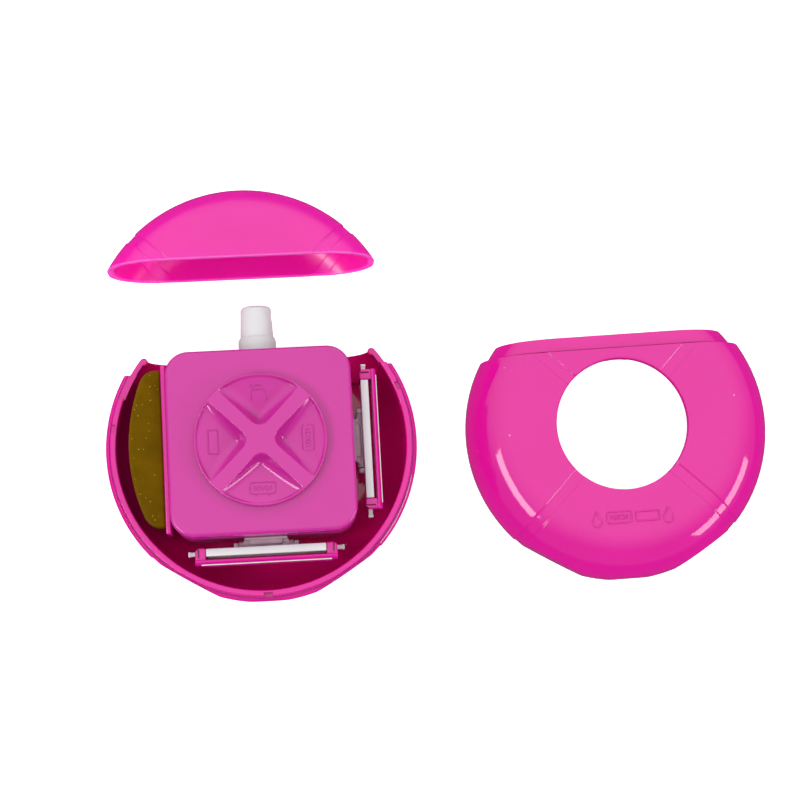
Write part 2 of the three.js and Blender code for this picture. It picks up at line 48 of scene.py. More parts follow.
CASE_R = 40
CASE_T = 28
PARTING_Z = 14
EDGE_RUN = 12
EDGE_RISE = 12
WALL = 1.5
FOOT_Y = 39.7
FOOT_HALF_ANGLE = math.radians(13.5)
FACET_END_ANGLE = math.radians(45)
FACET_BOW = 0.2
CUT_Y = 20
LAP_Y = 23.8
LAP_ROOT = 3
LAP_INSET = (1.45, 1.35)
LAP_T = 1.3
BEAD_R = 1
BEAD_CENTRE_R = 37.55
BEAD_Z0 = 10.5
CAVITY_R = 37.1
CAVITY_FLAT_R = 28
RIM_R = 38.7
RIM_Z = 16.5
RIM_LEFT_END_Y = 13.5
SLOT_ANGLES = (-90, 21, 171)
SLOT_HALF_W = 1.15
WINDOW_R = 17.2
WINDOW_LIP_R = 18.6
WINDOW_LIP_Z = 25.95
SKIRT_R = 39
SKIRT_Z = 16.8
CAP_WALL = 1.2
CAP_PLACE = (-3.2, 26.9, 0)
COVER_PLACE = (93.8, 1.2, -14)
COVER_TURN = math.radians(1.2)
HUB_HALF = 23.5
HUB_CORNER_R = 6
HUB_Z0 = 3.5
HUB_SPLIT_Z = 20.3
HUB_Z1 = 25.7
DIAL_R = 16.75
WELL_R = 15.2
WELL_Z = 22
SCOOP_FILLET = 3
POST_R = 4
POST_Z = 9.2
AXIS_Z = 14  # the height of the sprayer's axis and of the razors
PUMP_BORE_R = 5
NOZZLE_Y = 33.6
BAR_BACK = 24.85  # from the hub's centre to the soap's flat side
BAR_FRONT = 33.6
BAR_HALF_L = 20
BAR_END = 4.2
YOKE_SLOT_HALF_L = 4.65
YOKE_SLOT_HALF_H = 1.65
RAZOR_TURNS = {"right": 0.0, "lower": -math.pi / 2}
PIVOT_X = 25.6  # the razors tilt about this
FRAME_HALF_L = 18.05
FACE_HALF_L = 16.6  # the opening in a razor's frame
FACE_HALF_H = 3
FAR = 60  # past the end of every piece

# ---------- Looks, in mm ----------

BAND_HALF_W = 1.3
BAND_EDGE = 0.45
BAND_DEPTH = 0.26
EDGE_R = 0.25  # small moulded edges
LEDGE_DROP = 0.8  # the tray's ledge slopes down by this much at its outer edge
RIM_INSET = 0.45  # the rim stays this far inside the outline's facets
RIM_GROOVE = 0.4  # a fine groove where the rim leaves the ledge
SKIRT_INSET = 0.8
LAP_GAP = 0.3
LAP_EDGE = 0.3
LAP_GROOVE = 0.3  # a fine groove where the lap leaves the cover
LAP_STEPS = 24
MIDDLE_R = 4  # the flat faces are one fan of triangles inside this radius
FLAT_STEP = 0.8
WINDOW_EDGE = 0.35
LUG_HALF_W = 0.8
ARM_HALF_W = 1.6
SCOOP_DEEP = 4.3
SCOOP_SHALLOW = 0.12
SCOOP_BOWL = 0.95  # under 1, a scoop's floor rises slowly from its deep end
FRAME_BACK_X = 28.85
BLADE_X = 29.35
BLADE_PITCH = 1.9
BLADE_HALF_L = 16.5
BLADE_TILT = 0.45  # radians
FINS = 37  # the fins are what is left between the grooves in front of the blades
FIN_W = 0.45


# ---------- Mesh code ----------


def new_object(name, verts, faces):
    mesh = bpy.data.meshes.new(name)
    mesh.from_pydata([tuple(map(float, v)) for v in verts], [], faces)
    mesh.update()
    obj = bpy.data.objects.new(name, mesh)
    bpy.context.scene.collection.objects.link(obj)
    return obj


def skin(name, loops, closed=False, poles=(None, None)):
    """A solid whose surface runs over these loops of points, closed round each loop.
    closed joins the last loop to the first. A pole is a point that closes that end."""
    loops = np.array(loops, float)
    rows, cols = loops.shape[:2]
    verts = list(loops.reshape(-1, 3))
    faces = []
    for i in range(rows if closed else rows - 1):
        a, b = i * cols, ((i + 1) % rows) * cols
        for j in range(cols):
            k = (j + 1) % cols
            faces.append((a + j, a + k, b + k, b + j))
    for end, pole in enumerate(poles):
        if pole is None:
            continue
        verts.append(np.array(pole, float))
        centre = len(verts) - 1
        base = 0 if end == 0 else (rows - 1) * cols
        for j in range(cols):
            k = (j + 1) % cols
            pair = (base + k, base + j) if end == 0 else (base + j, base + k)
            faces.append((*pair, centre))
    obj = new_object(name, verts, faces)
    face_out(obj)
    return obj


def face_out(obj):
    """Turns the whole mesh round if its faces point inwards."""
    mesh = obj.data
    mesh.calc_loop_triangles()
    co = np.array([v.co for v in mesh.vertices])
    tri = np.array([t.vertices for t in mesh.loop_triangles])
    a, b, c = co[tri[:, 0]], co[tri[:, 1]], co[tri[:, 2]]
    if np.einsum("ij,ij->i", a, np.cross(b, c)).sum() < 0:
        mesh.flip_normals()


def baked(obj):
    """Applies the object's modifiers to its mesh."""
    graph = bpy.context.evaluated_depsgraph_get()
    mesh = bpy.data.meshes.new_from_object(obj.evaluated_get(graph))
    obj.modifiers.clear()
    old = obj.data
    obj.data = mesh
    bpy.data.meshes.remove(old)
    return obj


def consistent(obj):
    """Drops the points that no face uses and turns all the faces outwards."""
    bm = bmesh.new()
    bm.from_mesh(obj.data)
    loose = [v for v in bm.verts if not v.link_faces]
    bmesh.ops.delete(bm, geom=loose, context="VERTS")
    bmesh.ops.recalc_face_normals(bm, faces=bm.faces)
    bm.to_mesh(obj.data)
    bm.free()


def combined(operation, obj, others):
    for other in others:
        m = obj.modifiers.new("join", "BOOLEAN")
        m.operation = operation
        m.solver = "MANIFOLD"
        m.object = other
        baked(obj)
        bpy.data.objects.remove(other)
    return obj


def cut(obj, *tools):
    return combined("DIFFERENCE", obj, tools)


def join(obj, *others):
    return combined("UNION", obj, others)


def keep(obj, tool):
    return combined("INTERSECT", obj, [tool])


def bevelled(obj, width, segments=2, angle=40):
    m = obj.modifiers.new("bevel", "BEVEL")
    m.width = width
    m.segments = segments
    m.limit_method = "ANGLE"
    m.angle_limit = math.radians(angle)
    return baked(obj)


def block(x0, x1, y0, y1, z0, z1, name="block"):
    corners = [(x, y, z) for z in (z0, z1) for x, y in ((x0, y0), (x1, y0), (x1, y1), (x0, y1))]
    faces = [(3, 2, 1, 0), (4, 5, 6, 7), (0, 1, 5, 4), (1, 2, 6, 5), (2, 3, 7, 6), (3, 0, 4, 7)]
    return new_object(name, corners, faces)


def turned(name, profile, segments=96, axis="Z", at=(0, 0, 0)):
    """A profile of (radius, height) points turned about an axis through a point."""
    angles = np.linspace(0, 2 * math.pi, segments, endpoint=False)
    loops, poles = [], [None, None]
    for i, (r, h) in enumerate(profile):
        if r == 0:
            poles[0 if i == 0 else 1] = to_axis([(0, 0, h)], axis, at)[0]
            continue
        ring = np.stack([r * np.cos(angles), r * np.sin(angles), np.full(segments, float(h))], 1)
        loops.append(to_axis(ring, axis, at))
    return skin(name, loops, closed=profile[0][0] > 0 and profile[-1][0] > 0, poles=poles)


def slab(x0, x1, half_l, half_h, name="slab"):
    """A block centred on the height of the axis and on the middle of the razor's length."""
    return block(x0, x1, -half_l, half_l, AXIS_Z - half_h, AXIS_Z + half_h, name)


def rod_profile(r, start, end):
    return [(0, start), (r, start), (r, end), (0, end)]


def to_axis(points, axis, at):
    """Turns points made about Z so that they are about the named axis."""
    p = np.array(points, float)
    if axis == "Y":
        p = p[:, [0, 2, 1]] * (-1, 1, 1)
    elif axis == "X":
        p = p[:, [2, 0, 1]]
    return p + np.array(at, float)


def prism(name, outline, z0, z1):
    n = len(outline)
    verts = [(x, y, z) for z in (z0, z1) for x, y in outline]
    faces = [tuple(range(n - 1, -1, -1)), tuple(range(n, 2 * n))]
    faces += [(j, (j + 1) % n, n + (j + 1) % n, n + j) for j in range(n)]
    obj = new_object(name, verts, faces)
    face_out(obj)
    return obj


def arc(cr, ch, run, rise, start, end, steps):
    """Points of an ellipse's arc, its angles in quarter turns."""
    t = np.linspace(start, end, steps + 1) * math.pi / 2
    return list(zip(cr + run * np.cos(t), ch + rise * np.sin(t)))


def finished(obj, body, material, nodes=(), smooth=35):
    """Metres, smooth shading, its material, the body it rides on and the CAD nodes it stands for."""
    obj.data.transform(Matrix.Scale(MM, 4))
    obj.data.materials.clear()
    obj.data.materials.append(material)
    obj.data.shade_smooth()
    obj.data.set_sharp_from_angle(angle=math.radians(smooth))
    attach(obj, body)
    if nodes:
        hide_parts(*nodes)
    return obj


def moved(obj, place, turn=0.0):
    """Turns the piece about the frame's Z axis, then puts it in its place."""
    obj.data.transform(Matrix.Translation(place) @ Matrix.Rotation(turn, 4, "Z"))
    return obj


# ---------- The case ----------

CORE_R = CASE_R - EDGE_RUN
LOW_Z = EDGE_RISE
HIGH_Z = CASE_T - EDGE_RISE
FREE = -10  # the inset of a point that the outline's facets don't reach


def plain(r, z, inset=FREE):
    """A point of a section that the bands leave alone."""
    return (r, z, 0, 0, inset, 0)


def outline_radius(a):
    """The case outline's radius at angles from the foot: it has a flat foot with a facet on each side."""
    a = np.abs(a)
    corner = FOOT_Y / math.cos(FOOT_HALF_ANGLE)
    x0, y0 = corner * math.sin(FOOT_HALF_ANGLE), FOOT_Y
    dx = CASE_R * math.sin(FACET_END_ANGLE) - x0
    dy = CASE_R * math.cos(FACET_END_ANGLE) - y0
    along = (a - FOOT_HALF_ANGLE) / (FACET_END_ANGLE - FOOT_HALF_ANGLE)
    straight = (x0 * dy - y0 * dx) / (np.sin(a) * dy - np.cos(a) * dx)
    facet = straight + FACET_BOW * np.sin(math.pi * along)
    r = np.where(a <= FOOT_HALF_ANGLE, FOOT_Y / np.cos(a), facet)
    return np.where(a >= FACET_END_ANGLE, CASE_R, r)


def case_angles():
    """Angles round the case in degrees, close together where the four diagonal bands run."""
    coarse, fine, near = 1.5, 0.25, 7.5
    angles = []
    for i in range(round(360 / coarse)):
        a = i * coarse
        close = abs((a + coarse / 2) % 90 - 45) < near
        angles += [a + k * fine for k in range(round(coarse / fine))] if close else [a]
    return np.radians(angles)


def band_depth(x, y, fade_r=0.0):
    """How deep the four diagonal bands are at points of the case."""
    off = np.minimum(abs(x - y), abs(x + y)) / math.sqrt(2)
    t = np.clip((BAND_HALF_W + BAND_EDGE - off) / BAND_EDGE, 0, 1)
    depth = BAND_DEPTH * t * t * (3 - 2 * t)
    if fade_r:
        depth = depth * np.clip((np.hypot(x, y) - fade_r) / 1.5, 0, 1)
    return depth


def case_skin(name, profile, closed, fade_r=0.0):
    """A section turned round the case. Each point is (r, z, nr, nz, inset, groove): its place, the way out
    of the surface, how far inside the outline's facets it is held, and how much it sinks in the bands."""
    angles = case_angles()
    outline = outline_radius(np.arctan2(np.cos(angles), -np.sin(angles)))
    loops, poles = [], [None, None]
    for i, (r, z, nr, nz, inset, groove) in enumerate(profile):
        if r == 0:
            poles[0 if i == 0 else 1] = (0, 0, z)
            continue
        d = groove * band_depth(r * np.cos(angles), r * np.sin(angles), fade_r)
        rr = np.minimum(r - d * nr, outline - inset)
        loops.append(np.stack([rr * np.cos(angles), rr * np.sin(angles), z - d * nz], 1))
    return skin(name, loops, closed=closed, poles=poles)


def flat_rows(r0, r1, z, nz, groove=1, step=FLAT_STEP):
    n = max(2, math.ceil(abs(r1 - r0) / step))
    t = np.linspace(0, 1, n + 1)
    return [(r0 + (r1 - r0) * k, z, 0, nz, FREE, groove) for k in t]


def arc_rows(cr, cz, run, rise, start, end, steps=30, groove=1, inset=FREE):
    rows = []
    for t in np.linspace(start, end, steps + 1) * math.pi / 2:
        n = np.array([math.cos(t) / run, math.sin(t) / rise])
        n /= np.linalg.norm(n)
        rows.append((cr + run * math.cos(t), cz + rise * math.sin(t), *n, inset, groove))
    return rows


def lower_edge(inset_r=0.0, inset_z=0.0, down=False, **options):
    run, rise = EDGE_RUN - inset_r, EDGE_RISE - inset_z
    rows = arc_rows(CORE_R, LOW_Z, run, rise, -1, 0, inset=inset_r, **options)
    return rows[::-1] if down else rows


def upper_edge(inset_r=0.0, inset_z=0.0, down=False, **options):
    run, rise = EDGE_RUN - inset_r, EDGE_RISE - inset_z
    rows = arc_rows(CORE_R, HIGH_Z, run, rise, 0, 1, inset=inset_r, **options)
    return rows[::-1] if down else rows


def lap(upper):
    """The thin wall that laps inside the cap's mouth."""
    (ir, iz), z1 = LAP_INSET, PARTING_Z + (LAP_GAP if upper else 0)
    outer = dict(inset_r=ir, inset_z=iz, steps=LAP_STEPS, groove=0)
    inner = dict(inset_r=ir + LAP_T, inset_z=iz + LAP_T, steps=LAP_STEPS, groove=0)
    lip = [plain(CASE_R - ir, z1), plain(CASE_R - ir - LAP_T, z1)]
    if upper:
        rows = upper_edge(down=True, **outer) + lip + upper_edge(**inner)
        z_out, z_in = CASE_T - iz, CASE_T - iz - LAP_T
    else:
        rows = lower_edge(**outer) + lip + lower_edge(down=True, **inner)
        z_out, z_in = iz, iz + LAP_T
    wall = case_skin("lap", [plain(0, z_out), *rows, plain(0, z_in)], closed=False)
    wall = keep(wall, block(-FAR, FAR, CUT_Y - LAP_ROOT, LAP_Y, -1, FAR))
    wall = bevelled(wall, LAP_EDGE, 3, 50)
    if not upper:
        return wall
    deep = LAP_GROOVE
    rows = upper_edge(ir + deep, iz + deep, down=True, steps=LAP_STEPS, groove=0)
    core = case_skin("core", [plain(0, z_out - deep), *rows, plain(0, HIGH_Z)], closed=False)
    return cut(wall, cut(block(-FAR, FAR, CUT_Y - 0.5, CUT_Y + deep, HIGH_Z + 0.5, FAR), core))


def rear_shell():
    e = EDGE_R
    rows = [plain(0, 0)]
    rows += flat_rows(MIDDLE_R, CORE_R - FLAT_STEP, 0, -1)
    rows += lower_edge()
    rows += [(CASE_R, PARTING_Z - LEDGE_DROP, 1, 0, 0, 1)]
    rows += [(CASE_R - e, PARTING_Z - LEDGE_DROP / 2, 1, 0, e, 1)]
    groove_r, groove_z = RIM_R + RIM_GROOVE, PARTING_Z - RIM_GROOVE
    rows += [plain(groove_r, PARTING_Z, RIM_INSET - 0.1), plain(groove_r - 0.05, groove_z, RIM_INSET - 0.08)]
    rows += [plain(RIM_R, groove_z, RIM_INSET), plain(RIM_R, RIM_Z - e, RIM_INSET)]
    rows += [plain(RIM_R - e, RIM_Z, RIM_INSET + e), plain(CAVITY_R + e, RIM_Z), plain(CAVITY_R, RIM_Z - e)]
    run, rise = CAVITY_R - CAVITY_FLAT_R, EDGE_RISE - WALL
    rows += arc_rows(CAVITY_FLAT_R, EDGE_RISE, run, rise, 0, -1, groove=0)
    rows += [plain(POST_R + 0.6, WALL), plain(POST_R, WALL + 0.6)]
    rows += [plain(POST_R, POST_Z - 0.4), plain(POST_R - 0.4, POST_Z), plain(0, POST_Z)]
    shell = case_skin("rear_tray", rows, closed=False, fade_r=WINDOW_R)
    tools = [block(-FAR, FAR, CUT_Y, FAR, -1, FAR), block(-FAR, 0, RIM_LEFT_END_Y, FAR, PARTING_Z, FAR)]
    for degrees in SLOT_ANGLES:
        slot = block(RIM_R - 1, RIM_R + 2, -SLOT_HALF_W, SLOT_HALF_W, PARTING_Z, FAR)
        tools.append(moved(slot, (0, 0, 0), math.radians(degrees)))
    cut(shell, *tools)
    bead_y = LAP_Y - BEAD_R / 2
    bead_x = math.sqrt(BEAD_CENTRE_R**2 - bead_y**2)
    profile = [(0, BEAD_Z0), (BEAD_R - 0.2, BEAD_Z0), (BEAD_R, BEAD_Z0 + 0.2)]
    profile += [(BEAD_R, PARTING_Z - 0.3), (BEAD_R - 0.3, PARTING_Z), (0, PARTING_Z)]
    beads = [turned("bead", profile, 32, at=(side * bead_x, bead_y, 0)) for side in (-1, 1)]
    return join(shell, lap(False), *beads)


def front_cover():
    e = EDGE_R
    rows = [plain(WINDOW_R, WINDOW_LIP_Z), (WINDOW_R, CASE_T - WINDOW_EDGE, 0, 1, FREE, 1)]
    rows += [(WINDOW_R + 0.1, CASE_T - 0.1, 0, 1, FREE, 1)]
    rows += flat_rows(WINDOW_R + WINDOW_EDGE, CORE_R - 0.6, CASE_T, 1, step=0.6)
    rows += upper_edge(down=True)
    rows += [(CASE_R, PARTING_Z + e, 1, 0, 0, 1), (CASE_R - e, PARTING_Z, 1, 0, e, 1)]
    rows += [plain(SKIRT_R + 0.15, PARTING_Z, SKIRT_INSET - 0.15)]
    rows += [plain(SKIRT_R, PARTING_Z + 0.15, SKIRT_INSET), plain(SKIRT_R, SKIRT_Z, SKIRT_INSET)]
    start = math.asin((SKIRT_Z - HIGH_Z) / (EDGE_RISE - WALL)) * 2 / math.pi
    inner = EDGE_RUN - WALL, EDGE_RISE - WALL
    rows += arc_rows(CORE_R, HIGH_Z, *inner, start, 1, steps=20, groove=0, inset=WALL)
    rows += [plain(WINDOW_LIP_R, CASE_T - WALL), plain(WINDOW_LIP_R, WINDOW_LIP_Z)]
    shell = case_skin("front_cover_shell", rows, closed=True)
    cut(shell, block(-FAR, FAR, CUT_Y, FAR, -1, FAR))
    lugs = []
    for degrees in SLOT_ANGLES:
        lug = block(SKIRT_R - 0.9, SKIRT_R + 0.2, -LUG_HALF_W, LUG_HALF_W, PARTING_Z + 0.6, PARTING_Z + 1.6)
        lugs.append(moved(bevelled(lug, 0.25), (0, 0, 0), math.radians(degrees)))
    lap_wall = cut(lap(True), turned("bore", rod_profile(WINDOW_R, 0, FAR), 128))
    return join(shell, lap_wall, *lugs)


def slide_cap():
    def body(inset, name, groove):
        rows = [plain(0, inset)]
        rows += flat_rows(MIDDLE_R, CORE_R - FLAT_STEP, inset, -1, groove)
        rows += lower_edge(inset, inset, groove=groove) + upper_edge(inset, inset, groove=groove)
        rows += flat_rows(CORE_R - FLAT_STEP, MIDDLE_R, CASE_T - inset, 1, groove)
        rows += [plain(0, CASE_T - inset)]
        return case_skin(name, rows, closed=False, fade_r=WINDOW_R)

    # Inside, the bands stand out less, which leaves room for the laps.
    inside = body(CAP_WALL, "inside", 0.4)
    return cut(body(0, "cap_dome", 1), inside, block(-FAR, FAR, -FAR, CUT_Y, -1, FAR))


# ---------- The hub ----------

CORNER_STEPS = 14


def square_loop(half, corner, z):
    """A loop of points round a square with round corners, starting at the top of its right side."""
    inner = half - corner
    points = []
    for quarter in range(4):
        a0 = quarter * math.pi / 2
        x = inner if quarter in (0, 3) else -inner
        y = inner if quarter < 2 else -inner
        for a in np.linspace(a0, a0 + math.pi / 2, CORNER_STEPS):
            points.append((x + corner * math.cos(a), y + corner * math.sin(a), z))
    return points


def circle_loop(r, z):
    """The same number of points round a circle, each facing one of the square's."""
    square = np.array(square_loop(HUB_HALF, HUB_CORNER_R, z))
    a = np.arctan2(square[:, 1], square[:, 0])
    return [(r * math.cos(k), r * math.sin(k), z) for k in a]


def hub_loop(inset, z):
    return square_loop(HUB_HALF - inset, max(HUB_CORNER_R - inset, 0.4), z)


def hub_lid():
    z0, top, e = HUB_SPLIT_Z + 0.05, HUB_Z1, 1.0
    loops = [hub_loop(WALL, z0), hub_loop(0.2, z0), hub_loop(0, z0 + 0.2)]
    bends = np.linspace(0, math.pi / 2, 7)
    loops += [hub_loop(e - e * math.cos(t), top - e + e * math.sin(t)) for t in bends]
    loops += [hub_loop(e + 0.6, top), circle_loop(WELL_R + 0.5, top)]
    loops += [circle_loop(WELL_R + 0.2, top), circle_loop(WELL_R, top - 0.2)]
    loops += [circle_loop(WELL_R, WELL_Z + 0.02)]
    upper = skin("lid_top", loops + [circle_loop(4, WELL_Z)], poles=(None, (0, 0, WELL_Z)))
    lower = [hub_loop(WALL, z0), hub_loop(WALL, top - WALL), circle_loop(WELL_R + WALL, top - WALL)]
    lower += [circle_loop(WELL_R + WALL, HUB_SPLIT_Z + 0.4), circle_loop(4, HUB_SPLIT_Z + 0.4)]
    under = skin("lid_under", lower, poles=(None, (0, 0, HUB_SPLIT_Z + 0.4)))
    return welded("hub_lid_moulding", upper, under)


def welded(name, first, second):
    """One closed mesh from two open ones that share an edge loop."""
    verts, faces = [], []
    for obj in (first, second):
        base = len(verts)
        verts += [tuple(v.co) for v in obj.data.vertices]
        faces += [tuple(base + i for i in p.vertices) for p in obj.data.polygons]
        bpy.data.objects.remove(obj)
    obj = new_object(name, verts, faces)
    m = obj.modifiers.new("weld", "WELD")
    m.merge_threshold = 1e-4
    baked(obj)
    consistent(obj)
    return obj


def hub_tank():
    e = 0.9
    rise = [(e - e * math.cos(t), HUB_Z0 + e - e * math.sin(t)) for t in np.linspace(math.pi / 2, 0, 6)]
    loops = [hub_loop(i, z) for i, z in rise]
    loops += [hub_loop(0, HUB_SPLIT_Z - 0.2), hub_loop(0.2, HUB_SPLIT_Z), hub_loop(WALL, HUB_SPLIT_Z)]
    loops += [hub_loop(WALL, HUB_Z0 + WALL + 0.6), hub_loop(WALL + 0.6, HUB_Z0 + WALL)]
    tank = skin("hub_tank_moulding", loops, poles=((0, 0, HUB_Z0), (0, 0, HUB_Z0 + WALL)))
    boss = turned("boss", [(0, 4), (6, 4), (6, 10.7), (5.7, 11), (0, 11)], 64)
    neck = turned("neck", rod_profile(5.9, 17.5, 23), 64, "Y", (0, 0, AXIS_Z))
    socket = turned("socket", rod_profile(POST_R + 0.08, 0, 9.5), 64)
    bore = turned("bore", rod_profile(PUMP_BORE_R, 0, FAR), 64, "Y", (0, 0, AXIS_Z))
    slots = []
    for turn in RAZOR_TURNS.values():
        slot = slab(HUB_HALF - 2.5, HUB_HALF + 1, YOKE_SLOT_HALF_L, YOKE_SLOT_HALF_H)
        slots.append(moved(slot, (0, 0, 0), turn))
    return cut(join(tank, boss, neck), socket, bore, *slots)


# ---------- The dial ----------

SCOOP_TIP = (ARM_HALF_W + SCOOP_FILLET) * math.sqrt(2)
SCOOP_APEX = SCOOP_TIP - SCOOP_FILLET
WALL_RUN = 3.7  # how far a scoop's wall curves in before it meets the floor
WALL_CURVE = 2.2
ARM_EDGE = 0.3  # the arms' edges are rounded over this width
RIM_RING = 0.45  # the flat ring round the dial's rim
RING_EDGE = 0.35
DIAL_GRID = 0.25
SIGN_R = 11.9  # where the pictograms are


def dial_height(x, y):
    """The dial's top, at points from its centre: a flat X with a scoop between each two arms."""
    x, y = np.asarray(x, float), np.asarray(y, float)
    u = np.maximum(abs(x), abs(y))
    v = np.minimum(abs(x), abs(y))
    from_arm = (u - v) / math.sqrt(2) - ARM_HALF_W
    q = u - SCOOP_TIP
    from_apex = SCOOP_FILLET - np.hypot(q, v)
    d = np.where((q < 0) & (v <= -q), from_apex, from_arm)
    out = np.clip((u - SCOOP_APEX) / (DIAL_R - SCOOP_APEX), 0, 1)
    floor = SCOOP_SHALLOW + (SCOOP_DEEP - SCOOP_SHALLOW) * (1 - out) ** SCOOP_BOWL
    d = np.where(d < ARM_EDGE, np.clip(d, 0, None) ** 2 / (2 * ARM_EDGE), d - ARM_EDGE / 2)
    t = np.clip(d / WALL_RUN, 0, 1)
    depth = floor * (1 - (1 - t) ** WALL_CURVE)
    ring = np.clip((np.hypot(x, y) - (DIAL_R - RIM_RING - RING_EDGE)) / RING_EDGE, 0, 1)
    return CASE_T - depth * (1 - ring * ring * (3 - 2 * ring))


def dial_lines():
    """Grid lines across the dial, square to its arms and close together by their edges."""
    inner = list(np.linspace(0, ARM_HALF_W, 8)[1:-1])
    edge = [ARM_HALF_W + k for k in (0, 0.06, 0.14, 0.25, 0.4, 0.58, 0.78, 1.0, 1.25, 1.5, 1.8, 2.1)]
    out = list(np.arange(edge[-1] + DIAL_GRID, DIAL_R + 0.6, DIAL_GRID))
    half = inner + edge + out
    return np.array([-k for k in half[::-1]] + [0.0] + half)


def dial_block():
    """A block under a grid of points that takes the dial's top."""
    lines = dial_lines()
    n = len(lines)
    a, b = np.meshgrid(lines, lines, indexing="ij")
    x, y = (a - b) / math.sqrt(2), (a + b) / math.sqrt(2)
    top = np.stack([x, y, dial_height(x, y)], 2).reshape(-1, 3)
    low = np.stack([x, y, np.full_like(x, WELL_Z - 3)], 2).reshape(-1, 3)
    starts = [i * n + j for i in range(n - 1) for j in range(n - 1)]
    faces = [(k, k + n, k + n + 1, k + 1) for k in starts]
    rim = [i * n for i in range(n)] + [(n - 1) * n + j for j in range(1, n)]
    rim += [i * n + n - 1 for i in range(n - 2, -1, -1)] + list(range(n - 2, 0, -1))
    below = n * n  # how much further on the point under a point is
    faces += [(q, p, p + below, q + below) for p, q in zip(rim, rim[1:] + rim[:1])]
    faces.append(tuple(k + below for k in rim))
    knob = new_object("dial", np.concatenate([top, low]), faces)
    consistent(knob)
    return knob


def dial_knob():
    r = DIAL_R
    profile = [(0, WELL_Z + 0.05), (WELL_R - 0.3, WELL_Z + 0.05), (WELL_R - 0.1, WELL_Z + 0.25)]
    profile += [(WELL_R - 0.1, HUB_Z1 + 0.05), (r - 0.25, HUB_Z1 + 0.05), (r, HUB_Z1 + 0.3)]
    profile += arc(r - 0.3, CASE_T - 0.35, 0.3, 0.37, 0, 1, 6) + [(0, CASE_T + 0.02)]
    return keep(dial_block(), turned("envelope", profile, 240))


# ---------- Raised lines, for the pictograms ----------


def resampled(points, closed, step=0.2):
    p = np.array(points + [points[0]] if closed else points, float)
    out = []
    for a, b in zip(p[:-1], p[1:]):
        n = max(1, math.ceil(np.linalg.norm(b - a) / step))
        out += [a + (b - a) * k / n for k in range(n)]
    if not closed:
        out.append(p[-1])
    return np.array(out)


def raised_lines(name, lines, height_at, width=0.34, rise=0.16):
    """Low round-topped ribs along lines of points on a surface. Each is (points, closed)."""
    section = [(-0.5, -0.3), (-0.36, 0.65), (0, 1), (0.36, 0.65), (0.5, -0.3)]
    verts, faces = [], []
    for points, closed in lines:
        p = resampled(points, closed)
        n = len(p)
        ahead, behind = np.roll(p, -1, 0), np.roll(p, 1, 0)
        if not closed:
            ahead[-1], behind[0] = p[-1], p[0]
        t = ahead - behind
        t /= np.linalg.norm(t, axis=1)[:, None]
        side = np.stack([-t[:, 1], t[:, 0]], 1)
        base = len(verts)
        for i in range(n):
            for across, up in section:
                x, y = p[i] + side[i] * across * width
                verts.append((x, y, float(height_at(x, y)) + up * rise))
        m = len(section)
        for i in range(n if closed else n - 1):
            a, b = base + i * m, base + ((i + 1) % n) * m
            faces += [(a + k, a + (k + 1) % m, b + (k + 1) % m, b + k) for k in range(m)]
        if not closed:
            faces.append(tuple(base + k for k in range(m)))
            faces.append(tuple(base + (n - 1) * m + k for k in range(m - 1, -1, -1)))
    obj = new_object(name, verts, faces)
    consistent(obj)
    return obj


def rounded_box(w, h, r, steps=4):
    points = []
    for quarter in range(4):
        x = (w / 2 - r) * (1 if quarter in (0, 3) else -1)
        y = (h / 2 - r) * (1 if quarter < 2 else -1)
        for k in range(steps + 1):
            a = (quarter + k / steps) * math.pi / 2
            points.append((x + r * math.cos(a), y + r * math.sin(a)))
    return points, True


def ring(x, y, r, steps=14):
    a = np.linspace(0, 2 * math.pi, steps, endpoint=False)
    return [(x + r * math.cos(k), y + r * math.sin(k)) for k in a], True


def upright_line(x, y0, y1):
    return [(x, y0), (x, y1)], False


def razor_sign():
    low = -1.45
    lines = [rounded_box(6.4, -2 * low, 0.5), upright_line(-2.1, -0.6, 0.6), upright_line(2.1, -0.6, 0.6)]
    lines += [ring(-1.05, 0, 0.5), ring(1.05, 0, 0.5), upright_line(0, -0.6, 0.6)]
    return lines + [upright_line(-1.6, low - 0.5, low), upright_line(1.6, low - 0.5, low)]


def bottle_sign():
    body = [(-1.9, -1.7), (-1.9, 0.5), (-1.3, 1.1), (1.3, 1.1), (1.9, 0.5), (1.9, -1.7)]
    lines = [(body, False), ([(-0.8, 1.1), (-0.8, 2.1), (0.8, 2.1), (0.8, 1.1)], False)]
    lines += [([(-1.5, 2.2), (-1.9, 2.4)], False), ([(-1.5, 1.8), (-2.1, 1.8)], False)]
    return lines


def bar_sign():
    return [([(-1.2, -3), (1.2, -3), (1.2, 3), (-1.2, 3)], True)]


def drop_sign():
    a = np.linspace(-0.25 * math.pi, 1.25 * math.pi, 16)
    r = 1.25
    points = [(r * math.cos(k), -0.7 - r * math.sin(k)) for k in a]
    return [(points + [(0, 2.1)], True)]


def placed_lines(lines, x, y, turn=0.0):
    c, s = math.cos(turn), math.sin(turn)
    return [([(x + c * u - s * v, y + s * u + c * v) for u, v in points], closed) for points, closed in lines]


def cover_emblem():
    lines = placed_lines(drop_sign(), -9, -24.6) + placed_lines(razor_sign(), -3.2, -24.3)
    lines += placed_lines(bar_sign(), 4.2, -24.4, math.pi / 2) + placed_lines(drop_sign(), 9.6, -24.6)
    return raised_lines("cover_emblem", lines, lambda x, y: CASE_T, 0.5, 0.22)


def dial_signs():
    lines = placed_lines(bottle_sign(), 0, SIGN_R - 0.2) + placed_lines(bar_sign(), -SIGN_R, 0)
    lines += placed_lines(razor_sign(), SIGN_R, 0, -math.pi / 2)
    lines += placed_lines(razor_sign(), 0, -SIGN_R - 0.3)
    return raised_lines("dial_signs", lines, dial_height)


# ---------- Soap bar and its carrier ----------


